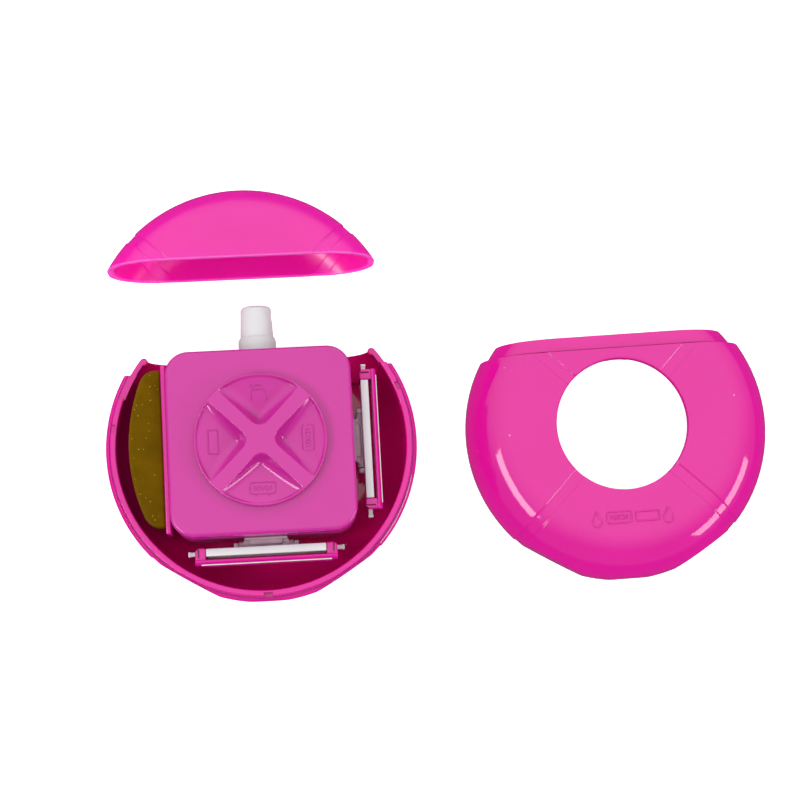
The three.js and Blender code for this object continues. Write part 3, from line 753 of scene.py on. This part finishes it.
def shave_bar():
    """A slice of a disc: its back is flat, its front is bowed, and its two far corners are rounded off."""
    sag = BAR_FRONT - BAR_BACK - BAR_END
    r = (BAR_HALF_L**2 + sag**2) / (2 * sag)
    bowed = np.linspace(0, 0.86 * math.asin(BAR_HALF_L / r), 20)
    upper = [(-BAR_FRONT + r - r * math.cos(t), r * math.sin(t)) for t in bowed]
    start = np.array(upper[-1])
    corner, stop = np.array([(-BAR_BACK - BAR_END, BAR_HALF_L), (-BAR_BACK - 1.6, BAR_HALF_L)])
    for k in np.linspace(0, 1, 9)[1:]:
        upper.append(tuple((1 - k) ** 2 * start + 2 * k * (1 - k) * corner + k * k * stop))
    upper.append((-BAR_BACK, BAR_HALF_L))
    outline = upper + [(x, -y) for x, y in upper[:0:-1]]
    return bevelled(prism("soap_bar", outline, 7.7, 19.9), 0.8, 4, 35)


def bar_carrier():
    plate = block(-24.8, -23.55, -22, 21, 5, 21.5, name="bar_holder")
    return join(bevelled(plate, 0.3, 3), bevelled(block(-29.85, -24.0, -18, 18, 6.2, 7.6), 0.3, 2))


# ---------- Sprayer ----------

SPRAY_AXIS = dict(segments=96, axis="Y", at=(0, 0, AXIS_Z))


def pump_collar():
    outer = [(1.3, 18.3), (4.6, 18.3), (4.7, 18.5), (4.7, 23.9), (4.85, 25.2), (4.85, 26.6)]
    outer += [(4.82, 27.2), (4.72, 27.6), (4.58, 27.9), (4.52, 28.05), (4.5, 28.08)]
    inner = [(4.42, 28.0), (4.42, 23.2), (1.3, 23.2)]
    return turned("spray_collar", outer + inner, **SPRAY_AXIS)


def spray_actuator():
    outer = [(3.4, 26.6), (4.2, 26.6), (4.3, 26.8), (4.28, 28), (4.14, 31), (3.98, 34.6)]
    outer += arc(3.05, 35.28, 0.92, 0.92, 0, 1, 8) + [(1.2, 36.2), (0, 36.2)]
    inner = [(3.4, 30.3), (3.0, 30.9), (2.2, 31.0), (1.15, 31.0), (1.15, 31.6), (0, 31.6)]
    head = turned("spray_head_shell", inner[::-1] + outer, **SPRAY_AXIS)
    nozzle = [(0, 2.2), (1.15, 2.2), (1.15, 3.8), (1.45, 4.4), (1.45, 6), (0, 6)]
    return cut(head, turned("socket", nozzle, 48, "X", (0, NOZZLE_Y, AXIS_Z)))


def nozzle_insert():
    profile = [(0, 2.45), (1.08, 2.45), (1.08, 3.7), (0.98, 3.85)]
    profile += [(0.5, 3.85), (0.35, 3.6), (0.22, 3.2), (0, 3.1)]
    return turned("spray_nozzle", profile, 48, "X", (0, NOZZLE_Y, AXIS_Z))


# ---------- Razor cartridges, facing +X ----------


def on_pivot(name, profile):
    return turned(name, profile, 48, "Y", (PIVOT_X, 0, AXIS_Z))


def pivot_rod(r, half):
    return on_pivot("rod", rod_profile(r, -half, half))


def yoke(name):
    lower = [(23.55, -5.3), (24.1, -5.5), (PIVOT_X, -6.95)]
    outline = lower + [(x, -y) for x, y in lower[::-1]]
    web = bevelled(prism(name, outline, AXIS_Z - 1.2, AXIS_Z + 1.2), 0.5, 2)
    tenon = bevelled(slab(22.1, 24, 4.5, 1.5), 0.15, 2)
    collar = bevelled(slab(23.55, 24.2, 5.5, 2.5), 0.3, 3)
    panel = bevelled(slab(23.9, 25.5, 4.3, 1.9), 0.45, 3)
    return cut(join(web, tenon, collar, panel, pivot_rod(1.2, 6.95)), pivot_rod(0.56, 9))


def swept(name, section, half_l):
    """A bar along Y with a section of (x, z) points, z from the razor's middle."""
    loops = [[(x, y, AXIS_Z + z) for x, z in section] for y in (-half_l, half_l)]
    return skin(name, loops, poles=[np.mean(loop, axis=0) for loop in loops])


def mirrored(make):
    """A piece and its mirror image at the razor's other end."""
    first, second = make(), make()
    second.data.transform(Matrix.Scale(-1, 4, (0, 1, 0)))
    second.data.flip_normals()
    return [first, second]


def spine(name):
    plate = bevelled(slab(26.05, 28, 15.2, 4.7, name), 0.2, 2)
    neck = bevelled(slab(26.5, 27.6, 19.6, 0.7), 0.2, 2)

    def tip():
        return bevelled(block(26.4, 27.7, -19.9, -19.2, AXIS_Z - 0.8, AXIS_Z + 0.8), 0.2, 3)

    def ear():
        return on_pivot("ear", [(0, 7.2), (0.95, 7.2), (0.95, 8.1), (0.8, 8.3), (0, 8.3)])

    piece = join(plate, *mirrored(ear), neck, *mirrored(tip))
    return cut(piece, pivot_rod(1.4, 7.2), pivot_rod(0.55, 8.25))


def cartridge_frame(name):
    section = [(FRAME_BACK_X, -4.8), (29.3, -4.8), (30.2, -4.2), (30.2, 3.0)]
    section += [(29.95, 4.0), (29.35, 4.8), (FRAME_BACK_X, 4.8)]
    face = bevelled(swept(name, section, FRAME_HALF_L), 0.25, 3, 30)

    def clip():
        outline = [(25.8, 15.3), (29, 15.3), (29, 18), (26.5, 18), (25.8, 17.2)]
        return bevelled(prism("clip", outline, AXIS_Z - 4.5, AXIS_Z + 4.5), 0.35, 3)

    def notch():
        return block(25, 28.3, 16.9, 17.3, AXIS_Z + 3.4, AXIS_Z + 5)

    piece = join(face, *mirrored(clip))
    opening = slab(27, 32, FACE_HALF_L, FACE_HALF_H)
    lane = block(29.75, 32, -FACE_HALF_L, FACE_HALF_L, AXIS_Z + 3.1, AXIS_Z + 3.85)
    nub_hole = slab(26.3, 27.8, 30, 0.9)
    starts = [2 * FIN_W * (k - FINS // 2) for k in range(FINS)]
    grooves = [block(29.9, 32, y, y + FIN_W, AXIS_Z - 4.4, AXIS_Z - 3.3) for y in starts]
    return cut(piece, opening, lane, nub_hole, *mirrored(notch), *grooves)


def lube_strip(name):
    strip = block(29.8, 30.2, -BLADE_HALF_L, BLADE_HALF_L, AXIS_Z + 3.15, AXIS_Z + 3.8, name)
    return bevelled(strip, 0.15, 3)


def blade(name, number):
    """A strip with a ground edge, tilted in its frame."""
    outline = [(-0.1, -0.75), (0.1, -0.75), (0.1, 0.45), (0.02, 0.75), (-0.02, 0.75), (-0.1, 0.45)]
    turn = Matrix.Rotation(-BLADE_TILT, 2)
    points = [turn @ Vector(p) for p in outline]
    middle = (number - 2) * BLADE_PITCH
    return swept(name, [(BLADE_X + p.x, middle + p.y) for p in points], BLADE_HALF_L)


# ---------- Materials, with their colours as linear values ----------

SHORT_GLOW = (0.004, 0.0003, 0.0015)
CAP_GLOW = (0.008, 0.0006, 0.005)
# A painted highlight along the edge of the cap's mouth.
LIP_HIGHLIGHT = (0.7, 0.085, 0.37)
DUST = (0.9, 0.45, 0.7)


def linear(code):
    channels = [int(code[i : i + 2], 16) / 255 for i in (0, 2, 4)]
    return [c / 12.92 if c <= 0.04045 else ((c + 0.055) / 1.055) ** 2.4 for c in channels]


class Finish:
    """A procedural material: a Principled shader and the nodes that feed it."""

    def __init__(self, name, slot):
        self.mat = bpy.data.materials.new(name)
        self.mat.use_nodes = True
        self.mat["slot"] = slot
        self.tree = self.mat.node_tree
        self.shader = self.tree.nodes["Principled BSDF"]
        self.at = self.node("ShaderNodeTexCoord").outputs["Object"]

    def node(self, kind, **values):
        n = self.tree.nodes.new(kind)
        for key, value in values.items():
            setattr(n, key, value)
        return n

    def link(self, a, b):
        self.tree.links.new(a, b)

    def set(self, **values):
        for key, value in values.items():
            socket = self.shader.inputs[key.replace("_", " ").title().replace("Ior", "IOR")]
            socket.default_value = (*value, 1) if socket.type == "RGBA" else value

    def noise(self, size, detail=3, stretch=None):
        """Soft noise with features of about this size in mm."""
        n = self.node("ShaderNodeTexNoise")
        n.inputs["Scale"].default_value = 1 / (size * MM)
        n.inputs["Detail"].default_value = detail
        if stretch:
            m = self.node("ShaderNodeMapping")
            m.inputs["Scale"].default_value = stretch
            self.link(self.at, m.inputs["Vector"])
            self.link(m.outputs["Vector"], n.inputs["Vector"])
        else:
            self.link(self.at, n.inputs["Vector"])
        return n.outputs["Fac"]

    def specks(self, size, near, chance, peak=1.0):
        """Round specks, at most one in each cell of this size in mm. near is where a speck fades out, and
        chance says which cells have one."""
        n = self.node("ShaderNodeTexVoronoi")
        n.inputs["Scale"].default_value = 1 / (size * MM)
        self.link(self.at, n.inputs["Vector"])
        dot = self.ranged(n.outputs["Distance"], peak, 0, *near)
        return self.product(dot, self.ranged(n.outputs["Color"], 0, 1, *chance))

    def ranged(self, value, lo, hi, from_lo=0.0, from_hi=1.0):
        n = self.node("ShaderNodeMapRange")
        for key, v in (("From Min", from_lo), ("From Max", from_hi), ("To Min", lo), ("To Max", hi)):
            n.inputs[key].default_value = v
        self.link(value, n.inputs["Value"])
        return n.outputs["Result"]

    def mixed(self, amount, a, b):
        n = self.node("ShaderNodeMix", data_type="RGBA")
        self.link(amount, n.inputs["Factor"])
        for key, v in (("A", a), ("B", b)):
            socket = next(s for s in n.inputs if s.name == key and s.type == "RGBA")
            if isinstance(v, (list, tuple)):
                socket.default_value = (*v, 1)
            else:
                self.link(v, socket)
        return next(s for s in n.outputs if s.type == "RGBA")

    def from_axis(self):
        flat = self.node("ShaderNodeVectorMath", operation="MULTIPLY")
        flat.inputs[1].default_value = (1, 1, 0)
        self.link(self.at, flat.inputs[0])
        length = self.node("ShaderNodeVectorMath", operation="LENGTH")
        self.link(flat.outputs["Vector"], length.inputs[0])
        return length.outputs["Value"]

    def along_y(self):
        """The place along the frame's Y axis."""
        parts = self.node("ShaderNodeSeparateXYZ")
        self.link(self.at, parts.inputs["Vector"])
        return parts.outputs["Y"]

    def product(self, a, b):
        n = self.node("ShaderNodeMath", operation="MULTIPLY")
        self.link(a, n.inputs[0])
        self.link(b, n.inputs[1])
        return n.outputs[0]

    def surface(self, height, depth, edge=None):
        """Fine relief in mm, and softened edges of the given radius in mm."""
        bump = self.node("ShaderNodeBump")
        bump.inputs["Distance"].default_value = depth * MM
        self.link(height, bump.inputs["Height"])
        if edge:
            bevel = self.node("ShaderNodeBevel", samples=4)
            bevel.inputs["Radius"].default_value = edge * MM
            self.link(bevel.outputs["Normal"], bump.inputs["Normal"])
        self.link(bump.outputs["Normal"], self.shader.inputs["Normal"])

    def feed(self, socket, name):
        self.link(socket, self.shader.inputs[name])


def pink_plastic(name, base, pale, rough, glow=0.08, reach=SHORT_GLOW, cavity_shade=None, lip=None, dusty=True):
    """Glossy moulded plastic: slow colour drift, uneven polish, fine orange peel and a few dust specks.
    glow is how much of its light comes back out of the plastic, and reach is how far each colour goes in it.
    The colour given for the cavity is painted shade: a deeper, redder tone inside the tray that stands in for
    light bouncing between its walls. The edge of the cap's mouth, at Y = lip, is painted paler as a painted
    highlight."""
    f = Finish(name, "pink_plastic")
    f.set(ior=1.5, subsurface_weight=glow, subsurface_radius=reach, subsurface_scale=1.0)
    colour = f.mixed(f.noise(14, 2), base, pale)
    # Painted shade: inside the tray's cavity wall the colour turns deeper and redder, standing in for light
    # bouncing round the cavity.
    if cavity_shade:
        wall = (CAVITY_R - 0.1) * MM, (CAVITY_R + 0.3) * MM
        colour = f.mixed(f.ranged(f.from_axis(), 0, 1, *wall), cavity_shade, colour)
    # Painted highlight: the band along the cap's mouth is paler, standing in for light caught on that edge.
    if lip:
        edge = (lip + 0.2) * MM, (lip + 0.5) * MM
        colour = f.mixed(f.ranged(f.along_y(), 1, 0, *edge), colour, LIP_HIGHLIGHT)
    if dusty:
        colour = f.mixed(f.specks(3.6, (0.035, 0.075), (0.8, 0.83), 0.6), colour, DUST)
    f.feed(colour, "Base Color")
    f.feed(f.ranged(f.noise(5, 4), *rough), "Roughness")
    f.surface(f.noise(0.9, 2), 0.0035, edge=0.2)
    return f.mat


def white_plastic():
    f = Finish("white_satin", "white_plastic")
    f.set(ior=1.49, subsurface_weight=0.2, subsurface_scale=1.0)
    f.set(subsurface_radius=(0.003, 0.0028, 0.0028))
    f.feed(f.mixed(f.noise(4, 3), (0.63, 0.64, 0.64), (0.56, 0.57, 0.57)), "Base Color")
    f.feed(f.ranged(f.noise(1.5, 3), 0.32, 0.5), "Roughness")
    f.surface(f.noise(0.35, 3), 0.003, edge=0.12)
    return f.mat


def frosted_plastic():
    f = Finish("frosted_clear", "frosted_plastic")
    f.set(ior=1.45, transmission_weight=0.4)
    f.feed(f.mixed(f.noise(3, 3), linear("e2cbd6"), linear("c9a9ba")), "Base Color")
    f.feed(f.ranged(f.noise(0.8, 4), 0.22, 0.42), "Roughness")
    f.surface(f.noise(0.3, 3), 0.006, edge=0.15)
    return f.mat


def glycerine_soap():
    """Dark olive soap that light sinks into, with small bubbles in it."""
    f = Finish("olive_soap", "soap")
    f.set(ior=1.45, specular_ior_level=0.02)
    f.set(subsurface_weight=0.25, subsurface_radius=(0.003, 0.002, 0.0004), subsurface_scale=1.0)
    clouds = f.ranged(f.noise(6, 4), 0, 1, 0.35, 0.65)
    depth = f.mixed(clouds, (0.1, 0.053, 0.0002), (0.128, 0.069, 0.0003))
    bubbles = f.specks(0.95, (0.07, 0.2), (0.6, 0.7))
    f.feed(f.mixed(bubbles, depth, linear("b9953a")), "Base Color")
    f.feed(f.ranged(f.noise(2, 3), 0.22, 0.42), "Roughness")
    f.surface(f.noise(1.4, 4), 0.03, edge=0.3)
    return f.mat


def steel():
    f = Finish("ground_steel", "steel")
    f.set(metallic=1.0, ior=2.5)
    grain = f.noise(0.25, 3, stretch=(1, 0.05, 1))
    f.feed(f.mixed(grain, (0.52, 0.53, 0.54), (0.74, 0.75, 0.76)), "Base Color")
    f.feed(f.ranged(grain, 0.18, 0.4), "Roughness")
    f.surface(grain, 0.002)
    return f.mat


def seal_rubber():
    f = Finish("soft_seal", "seal")
    f.feed(f.mixed(f.noise(2, 3), (0.78, 0.76, 0.76), (0.9, 0.89, 0.88)), "Base Color")
    f.feed(f.ranged(f.noise(0.5, 3), 0.6, 0.85), "Roughness")
    f.surface(f.noise(0.2, 4), 0.01)
    return f.mat


def lube():
    f = Finish("lubricating_strip", "lube_strip")
    f.feed(f.mixed(f.noise(0.6, 4), linear("dfe6da"), linear("c3d2c0")), "Base Color")
    f.feed(f.ranged(f.noise(0.4, 3), 0.35, 0.6), "Roughness")
    f.surface(f.noise(0.25, 4), 0.02)
    return f.mat


GLOSS_PINK = (0.53, 0.003, 0.225), (0.56, 0.006, 0.25)
PINK = pink_plastic("pink_gloss", *GLOSS_PINK, (0.05, 0.09))
# The tray's cavity colour is painted shade from light bouncing inside it.
TRAY_PINK = pink_plastic("pink_tray", *GLOSS_PINK, (0.06, 0.1), cavity_shade=(0.6, 0.002, 0.14))
SATIN_PINK = (0.53, 0.005, 0.26), (0.55, 0.008, 0.275)
MOUTH_Y = CUT_Y + CAP_PLACE[1]
# The cap's mouth edge gets a painted highlight.
CAP_PINK = pink_plastic("pink_cap", *SATIN_PINK, (0.2, 0.27), 1.0, CAP_GLOW, lip=MOUTH_Y, dusty=False)
HUB_PINK = pink_plastic("pink_hub", (0.43, 0.012, 0.23), (0.455, 0.018, 0.25), (0.08, 0.13))
TANK_PINK = pink_plastic("pink_tank", (0.43, 0.008, 0.22), (0.455, 0.014, 0.24), (0.4, 0.5))
WHITE = white_plastic()
FROSTED = frosted_plastic()
SOAP = glycerine_soap()
STEEL = steel()
SEAL = seal_rubber()
LUBE = lube()

# ---------- Assembly ----------

finished(rear_shell(), "case_tray", TRAY_PINK, ["rear_shell"])
finished(moved(front_cover(), COVER_PLACE, COVER_TURN), "cover", PINK, ["front_cover"])
finished(moved(slide_cap(), CAP_PLACE), "cap", CAP_PINK, ["slide_cap"])
finished(moved(cover_emblem(), COVER_PLACE, COVER_TURN), "cover", PINK)

finished(hub_tank(), "carousel", TANK_PINK, ["hub_tank"])
finished(hub_lid(), "carousel", HUB_PINK, ["hub_lid"])
finished(dial_knob(), "carousel", HUB_PINK, ["dial_knob"])
finished(dial_signs(), "carousel", HUB_PINK)

finished(bar_carrier(), "carousel", PINK, ["bar_carrier"])
finished(shave_bar(), "carousel", SOAP, ["shave_bar"])
finished(pump_collar(), "carousel", WHITE, ["pump_collar"])
finished(spray_actuator(), "spray_head", WHITE, ["spray_actuator"])
finished(nozzle_insert(), "spray_head", WHITE, ["nozzle_insert"])

for side, turn in RAZOR_TURNS.items():
    body = f"{side}_cartridge"

    def seated(obj):
        return moved(obj, (0, 0, 0), turn)

    finished(seated(yoke(f"{side}_swivel")), "carousel", FROSTED, [f"{side}_yoke"])
    finished(seated(spine(f"{side}_back")), body, WHITE, [f"{side}_spine"])
    finished(seated(cartridge_frame(f"{side}_head")), body, PINK, [f"{side}_frame"])
    finished(seated(lube_strip(f"{side}_strip")), body, LUBE, [f"{side}_lube_strip"])
    for number in (1, 2, 3):
        edge = seated(blade(f"{side}_edge_{number}", number))
        finished(edge, body, STEEL, [f"{side}_blade_{number}"], smooth=20)

# The small inner pieces keep their CAD shapes.
KEPT = {
    "index_ring": WHITE,
    "lid_seal": SEAL,
    "index_leaf": STEEL,
    "collar_gasket": SEAL,
    "pump_barrel": WHITE,
    "dip_tube": FROSTED,
    "inlet_ball": STEEL,
    "pump_spring": STEEL,
    "pump_stem": WHITE,
    "right_pivot_pin": STEEL,
    "lower_pivot_pin": STEEL,
}
for node, finish in KEPT.items():
    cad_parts[node].material_slots[0].material = finish

# ---------- Studio ----------

FLOOR_HALF = 8000
FLOOR_Z = -0.02
COVER_MIDDLE = (0.0938, 0, 0.01)  # the soft lights face this place, in metres
LIGHT_AWAY = 0.9
SKY_WAY = (0, 0.5, 0.866)


def floor():
    f = Finish("studio_white", "")
    f.feed(f.mixed(f.noise(60, 2), (0.86, 0.86, 0.86), (0.9, 0.9, 0.9)), "Base Color")
    f.set(roughness=0.8, emission_color=(1, 1, 1), emission_strength=0.6)
    corners = [(x * FLOOR_HALF, y * FLOOR_HALF, FLOOR_Z) for x, y in ((-1, -1), (1, -1), (1, 1), (-1, 1))]
    ground = new_object("studio_floor", corners, [(0, 1, 2, 3)])
    ground.data.transform(Matrix.Scale(MM, 4))
    ground.data.materials.append(f.mat)
    ground.visible_glossy = False


def area_light(name, azimuth, elevation, size, power):
    """A soft box towards a compass direction, 0 along +X and 90 along +Y, facing the cover."""
    a, e = math.radians(azimuth), math.radians(elevation)
    way = Vector((math.cos(a) * math.cos(e), math.sin(a) * math.cos(e), math.sin(e)))
    lamp = bpy.data.lights.new(name, "AREA")
    lamp.shape = "RECTANGLE"
    lamp.size, lamp.size_y = size
    lamp.energy = power
    obj = bpy.data.objects.new(name, lamp)
    obj.location = Vector(COVER_MIDDLE) + way * LIGHT_AWAY
    obj.rotation_mode = "QUATERNION"
    obj.rotation_quaternion = way.to_track_quat("Z", "Y")
    bpy.context.scene.collection.objects.link(obj)


def sky():
    """A dark room below the horizon, pale walls, and a ceiling that glows more and more towards SKY_WAY."""
    world = bpy.data.worlds.new("studio")
    world.use_nodes = True
    tree = world.node_tree

    def node(kind, **values):
        n = tree.nodes.new(kind)
        for key, value in values.items():
            setattr(n, key, value)
        return n

    def ranged(value, from_lo, from_hi, to_lo, to_hi):
        n = node("ShaderNodeMapRange", interpolation_type="SMOOTHSTEP")
        for key, v in (("From Min", from_lo), ("From Max", from_hi), ("To Min", to_lo), ("To Max", to_hi)):
            n.inputs[key].default_value = v
        tree.links.new(value, n.inputs["Value"])
        return n.outputs["Result"]

    way = node("ShaderNodeTexCoord").outputs["Generated"]
    towards = node("ShaderNodeVectorMath", operation="DOT_PRODUCT")
    towards.inputs[1].default_value = SKY_WAY
    tree.links.new(way, towards.inputs[0])
    height = node("ShaderNodeSeparateXYZ")
    tree.links.new(way, height.inputs["Vector"])
    strength = node("ShaderNodeMath", operation="MULTIPLY")
    tree.links.new(ranged(towards.outputs["Value"], 0.1, 1.0, 0.4, 1.6), strength.inputs[0])
    tree.links.new(ranged(height.outputs["Z"], -0.04, 0.08, 0.2, 1.0), strength.inputs[1])
    tree.links.new(strength.outputs[0], tree.nodes["Background"].inputs["Strength"])
    tree.nodes["Background"].inputs["Color"].default_value = (1, 1, 1, 1)
    bpy.context.scene.world = world


floor()
sky()
area_light("soft_left", 204, 44, (0.5, 0.24), 3.0)
area_light("soft_right", -28, 22, (0.6, 0.25), 3.0)
bpy.context.scene.view_settings.view_transform = "Standard"

CAMERA_AT = Vector((0.01001, -0.06104, 0.49671))
CAMERA_TURN, CAMERA_TILT, CAMERA_ROLL = (math.radians(a) for a in (20.2014, 81.0687, 17.1726))
CAMERA_LENS = 84.84

forward = Vector((
    math.sin(CAMERA_TURN) * math.cos(CAMERA_TILT),
    math.cos(CAMERA_TURN) * math.cos(CAMERA_TILT),
    -math.sin(CAMERA_TILT),
))
level = forward.cross(Vector((0, 0, 1))).normalized()
upright = level.cross(forward)
right = level * math.cos(CAMERA_ROLL) + upright * math.sin(CAMERA_ROLL)
up = upright * math.cos(CAMERA_ROLL) - level * math.sin(CAMERA_ROLL)
camera = bpy.data.objects.new("camera", bpy.data.cameras.new("camera"))
camera.data.lens = CAMERA_LENS
camera.data.sensor_width = 36
camera.data.clip_start, camera.data.clip_end = 0.01, 20
camera.matrix_world = Matrix.Translation(CAMERA_AT) @ Matrix((right, up, -forward)).transposed().to_4x4()
bpy.context.scene.collection.objects.link(camera)
bpy.context.scene.camera = camera
